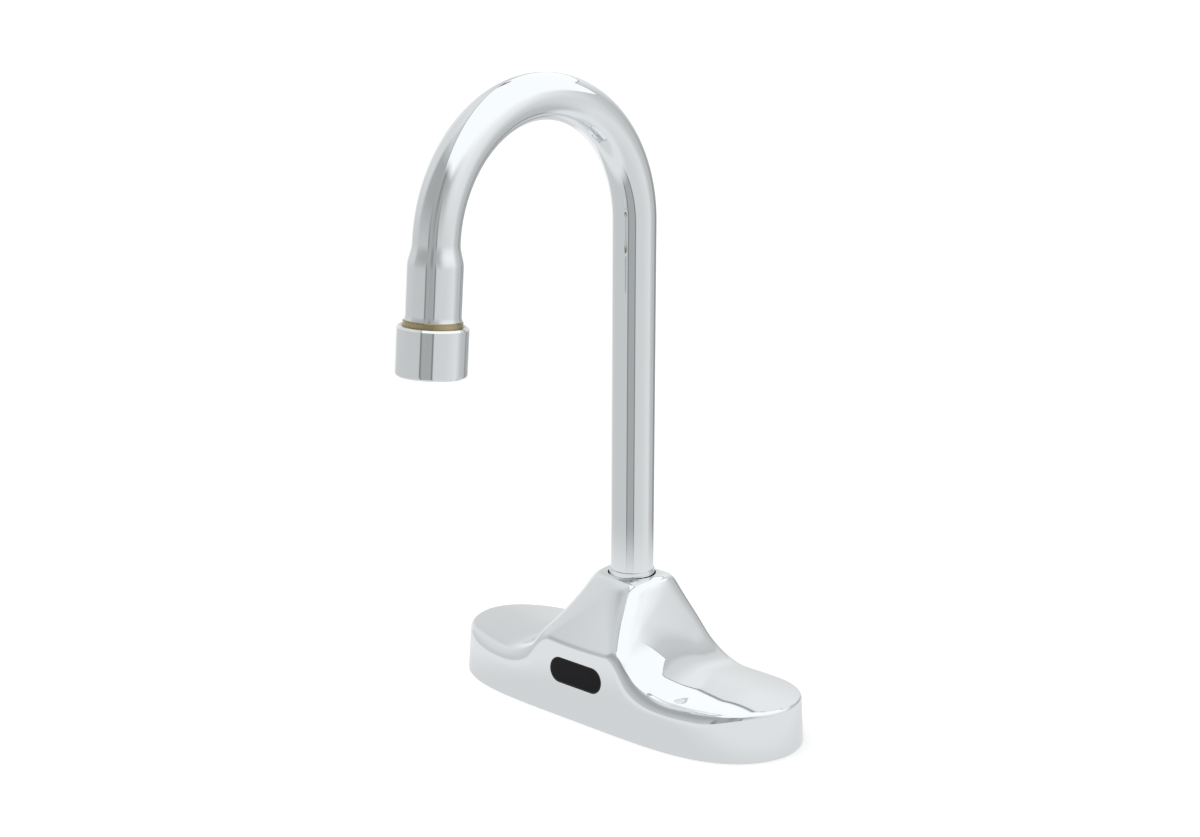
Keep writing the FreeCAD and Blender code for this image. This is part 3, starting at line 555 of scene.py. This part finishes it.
# The skin mirrors the studio, so its shading follows the true slope of the form.
on_skin, alike = 0.02, 0.85
mesh = casting.data
spots = np.zeros(len(mesh.vertices) * 3)
mesh.vertices.foreach_get("co", spots)
spots = spots.reshape(-1, 3) * 1000
near_skin = np.abs(gap_to_casting(*spots.T)) < on_skin
true_slope = slope_of_casting(*spots.T)
owners = np.zeros(len(mesh.loops), dtype=np.int32)
mesh.loops.foreach_get("vertex_index", owners)
shading = np.zeros(len(mesh.loops) * 3)
mesh.corner_normals.foreach_get("vector", shading)
shading = shading.reshape(-1, 3)
wanted = true_slope[owners]
close = near_skin[owners] & ((shading * wanted).sum(-1) > alike)
shading[close] = wanted[close]
mesh.normals_split_custom_set(shading.tolist())
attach(casting, "base")
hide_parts("base_body")


def new_finish(name, colour, roughness, metallic=0.0, gloss=0.5):
    """A material: itself, its tree, its shader and the piece's own coordinates."""
    material = bpy.data.materials.new(name)
    material.use_nodes = True
    tree = material.node_tree
    shader = tree.nodes["Principled BSDF"]
    shader.inputs["Base Color"].default_value = (*colour, 1)
    shader.inputs["Roughness"].default_value = roughness
    shader.inputs["Metallic"].default_value = metallic
    shader.inputs["Specular IOR Level"].default_value = gloss
    return material, tree, shader, tree.nodes.new("ShaderNodeTexCoord").outputs["Object"]


def speckle(tree, where, scale, detail=3.0):
    """An uneven pattern from 0 to 1."""
    noise = tree.nodes.new("ShaderNodeTexNoise")
    noise.inputs["Scale"].default_value = scale
    noise.inputs["Detail"].default_value = detail
    tree.links.new(where, noise.inputs["Vector"])
    return noise.outputs["Fac"]


def roughen(tree, shader, pattern, low, high):
    """Lets a pattern from 0 to 1 move the roughness."""
    tree.links.new(calculate(tree, "MULTIPLY_ADD", pattern, high - low, low),
                   shader.inputs["Roughness"])


def two_tone(tree, shader, pattern, first, second):
    """Lets a pattern from 0 to 1 move the colour."""
    mix = tree.nodes.new("ShaderNodeMix")
    mix.data_type = "RGBA"
    tree.links.new(pattern, mix.inputs[0])
    mix.inputs[6].default_value = (*first, 1)
    mix.inputs[7].default_value = (*second, 1)
    tree.links.new(mix.outputs[2], shader.inputs["Base Color"])


def relief(tree, shader, pattern, depth):
    """Raises the surface by a pattern, to a depth in metres."""
    bump = tree.nodes.new("ShaderNodeBump")
    bump.inputs["Distance"].default_value = depth
    tree.links.new(pattern, bump.inputs["Height"])
    tree.links.new(bump.outputs[0], shader.inputs["Normal"])


def finish(material, *names):
    """Gives these pieces the material in place of their own."""
    for name in names:
        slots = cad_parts[name].data.materials
        slots.clear()
        slots.append(material)


# Polishing leaves faint waves and a slightly uneven gloss under the chrome.
chrome, tree, shader, where = new_finish("polished_chrome", (0.78, 0.81, 0.825), 0.03,
                                         metallic=1.0)
roughen(tree, shader, speckle(tree, where, scale=70), low=0.02, high=0.05)
relief(tree, shader, speckle(tree, where, scale=45, detail=1.0), depth=0.000012)
casting.data.materials.append(chrome)

# Gooseneck -----------------------------------------------------------------------------
# A 5/8 in brass tube, bent over a former and swaged wider at its end for the outlet nipple,
# then polished and chromed. Its lip is flared a little.
tube_radius, tube_wall, neck_radius, lip_radius = 0.0079375, 0.0012, 0.0093, 0.0096
riser_top, bend_radius, bend_angle = 0.1798, 0.0472, math.radians(175.57)
swage_length, neck_length, lip_length = 0.0075, 0.0252, 0.0015
sides_round, bend_steps, swage_steps = 96, 88, 14
edge_ring, lip_ring, lip_rounding = 0.0006, 0.0004, 0.0002
riser_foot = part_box("gooseneck_tube")[0][2]

bpy.ops.object.select_all(action="DESELECT")
bpy.ops.mesh.primitive_circle_add(vertices=sides_round, radius=tube_radius,
                                  location=(0, 0, riser_foot))
gooseneck = bpy.context.object
gooseneck.name = "bent_gooseneck"
bpy.ops.object.transform_apply(location=True)
bpy.ops.object.mode_set(mode="EDIT")
bpy.ops.mesh.select_all(action="SELECT")
# A ring just before each change of form keeps the plain length's shading even.
for rise_by in (riser_top - riser_foot - edge_ring, edge_ring):
    bpy.ops.mesh.extrude_region_move(TRANSFORM_OT_translate={"value": (0, 0, rise_by)})
bpy.ops.mesh.spin(steps=bend_steps, angle=bend_angle, center=(0, -bend_radius, riser_top),
                  axis=(-1, 0, 0))

# The tube's end, ring by ring: how far each lies from the bend, and its radius.
rings = [(swage_length * k / swage_steps, tube_radius + (neck_radius - tube_radius)
          * (k / swage_steps) ** 2 * (3 - 2 * k / swage_steps))
         for k in range(1, swage_steps + 1)]
rings += [(swage_length + edge_ring, neck_radius),
          (neck_length - lip_length - edge_ring, neck_radius),
          (neck_length - lip_length, neck_radius),
          (neck_length - lip_ring, lip_radius),
          (neck_length, lip_radius - lip_rounding)]
outlet_way = Vector((0, -math.sin(bend_angle), math.cos(bend_angle)))
bend_end = Vector((0, -bend_radius * (1 - math.cos(bend_angle)),
                   riser_top + bend_radius * math.sin(bend_angle)))
radius, gone = tube_radius, 0.0
for reach, wider in rings:
    bpy.ops.mesh.extrude_region_move(
        TRANSFORM_OT_translate={"value": outlet_way * (reach - gone)})
    bpy.ops.transform.resize(value=(wider / radius,) * 3,
                             center_override=bend_end + outlet_way * reach)
    radius, gone = wider, reach
bpy.ops.object.mode_set(mode="OBJECT")
edit_all(bpy.ops.mesh.normals_make_consistent, inside=False)
modify(gooseneck, "SOLIDIFY", thickness=tube_wall, offset=-1)
bpy.ops.object.shade_smooth_by_angle(angle=math.radians(35))
gooseneck.data.materials.append(chrome)
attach(gooseneck, "spout")
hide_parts("gooseneck_tube")

# Foot ring and aerator housing ---------------------------------------------------------
# Both are turned brass, polished and chromed. The ring is pressed on the tube and turns
# with it in the collar, and the housing screws on the outlet nipple.
finish(chrome, "spout_foot_ring", "aerator_housing")

# Bare brass parts ----------------------------------------------------------------------
# Turned brass: the outlet nipple, whose shoulder shows under the neck, and the hidden
# socket, locknut and stem. The tool leaves fine rings round the vertical axis.
brass, tree, shader, where = new_finish("bare_brass", (0.50, 0.42, 0.25), 0.28,
                                        metallic=1.0)
ring_waves = 25000.0
rings_cut = calculate(tree, "MULTIPLY", split(tree, where)[2], ring_waves)
relief(tree, shader, calculate(tree, "SINE", rings_cut), depth=0.000004)
tarnish = speckle(tree, where, scale=260)
two_tone(tree, shader, tarnish, (0.34, 0.28, 0.15), (0.52, 0.45, 0.27))
roughen(tree, shader, tarnish, low=0.20, high=0.40)
finish(brass, "outlet_nipple", "spout_socket", "socket_locknut", "spout_stem")

# Steel ring and screws -----------------------------------------------------------------
# The retaining ring is bent from spring wire and the housing's screws are cold formed, both
# of bright stainless steel with faint draw marks.
steel, tree, shader, where = new_finish("bright_steel", (0.56, 0.57, 0.58), 0.25,
                                        metallic=1.0)
marks = speckle(tree, where, scale=1800)
roughen(tree, shader, marks, low=0.16, high=0.38)
relief(tree, shader, marks, depth=0.00001)
finish(steel, "retaining_ring", "housing_screws")

# Wire cloth ----------------------------------------------------------------------------
# The aerator's screen and the inlet strainer are pressed from woven stainless wire, with
# small square openings between the wires.
# The openings are painted near-black, a painted shade for the dark seen through them.
wire_bright, shaded_opening, wire_waves, wire_edge = (
    (0.56, 0.57, 0.58), (0.03, 0.03, 0.03), 5200.0, (0.22, 0.42))
cloth_metal, tree, shader, where = new_finish("steel_wire_cloth", (0.5, 0.5, 0.5), 0.3,
                                              metallic=1.0)
waves = []
for part in split(tree, where)[:2]:
    wave = calculate(tree, "SINE", calculate(tree, "MULTIPLY", part, wire_waves))
    waves.append(calculate(tree, "ABSOLUTE", wave))
holes = calculate(tree, "MULTIPLY", *waves)
two_tone(tree, shader, climb(tree, holes, *wire_edge), wire_bright, shaded_opening)
relief(tree, shader, calculate(tree, "SUBTRACT", 1.0, holes), depth=0.0001)
finish(cloth_metal, "inlet_strainer", "aerator_screen")

# Rubber parts --------------------------------------------------------------------------
# The gasket, the window's seal, the lead's grommet, the O-rings and the aerator's washer
# are moulded black rubber with a dull, slightly dusty skin.
rubber, tree, shader, where = new_finish("black_rubber", (0.02, 0.02, 0.022), 0.6,
                                         gloss=0.3)
dust = speckle(tree, where, scale=700)
two_tone(tree, shader, dust, (0.012, 0.012, 0.013), (0.040, 0.040, 0.042))
roughen(tree, shader, dust, low=0.5, high=0.8)
relief(tree, shader, speckle(tree, where, scale=3000), depth=0.00003)
finish(rubber, "base_gasket", "window_seal", "lead_grommet", "stem_o_rings",
       "aerator_washer")

# Sensor window, emitter and receiver ---------------------------------------------------
# Moulded near-black plastic that lets infra-red light through. It is glossy, but looks
# black from the front, and shows the faintest flow marks.
window, tree, shader, where = new_finish("window_plastic", (0.004, 0.004, 0.005), 0.08,
                                         gloss=0.14)
roughen(tree, shader, speckle(tree, where, scale=300), low=0.05, high=0.12)
two_tone(tree, shader, speckle(tree, where, scale=120), (0.003, 0.003, 0.004),
         (0.007, 0.006, 0.008))
finish(window, "sensor_window", "ir_emitter", "ir_receiver")

# Black plastic parts -------------------------------------------------------------------
# The sensor's housing, light divider and back cover are moulded of black plastic with the
# fine grain of an eroded mould.
black, tree, shader, where = new_finish("black_plastic", (0.02, 0.02, 0.022), 0.45)
grain = speckle(tree, where, scale=4500)
roughen(tree, shader, grain, low=0.40, high=0.58)
two_tone(tree, shader, grain, (0.014, 0.014, 0.016), (0.030, 0.030, 0.033))
relief(tree, shader, grain, depth=0.00003)
finish(black, "sensor_housing", "light_divider", "sensor_back_cover")

# White plastic parts -------------------------------------------------------------------
# The thrust washer, flow regulator, aerator cartridge and outlet grid are moulded of
# slightly milky white plastic, a little yellower in places.
white, tree, shader, where = new_finish("white_plastic", (0.70, 0.70, 0.68), 0.4)
shader.inputs["Subsurface Weight"].default_value = 0.15
shader.inputs["Subsurface Scale"].default_value = 0.0008
cloud = speckle(tree, where, scale=350)
two_tone(tree, shader, cloud, (0.74, 0.74, 0.72), (0.64, 0.63, 0.58))
roughen(tree, shader, cloud, low=0.32, high=0.50)
finish(white, "thrust_washer", "flow_regulator", "aerator_insert", "outlet_grid")

# Circuit board -------------------------------------------------------------------------
# Glass-fibre board under green lacquer. Copper tracks show through it as lighter lines.
board, tree, shader, where = new_finish("circuit_board", (0.03, 0.16, 0.07), 0.35)
upright = tree.nodes.new("ShaderNodeMapping")
upright.inputs["Rotation"].default_value = (math.pi / 2, 0, 0)
tree.links.new(where, upright.inputs["Vector"])
tracks = tree.nodes.new("ShaderNodeTexBrick")
tracks.inputs["Scale"].default_value = 420
tracks.inputs["Mortar Size"].default_value = 0.05
tree.links.new(upright.outputs[0], tracks.inputs["Vector"])
two_tone(tree, shader, tracks.outputs["Fac"], (0.02, 0.13, 0.05), (0.07, 0.30, 0.12))
relief(tree, shader, tracks.outputs["Fac"], depth=0.00004)
roughen(tree, shader, speckle(tree, where, scale=1500), low=0.28, high=0.42)
finish(board, "sensor_circuit_board")
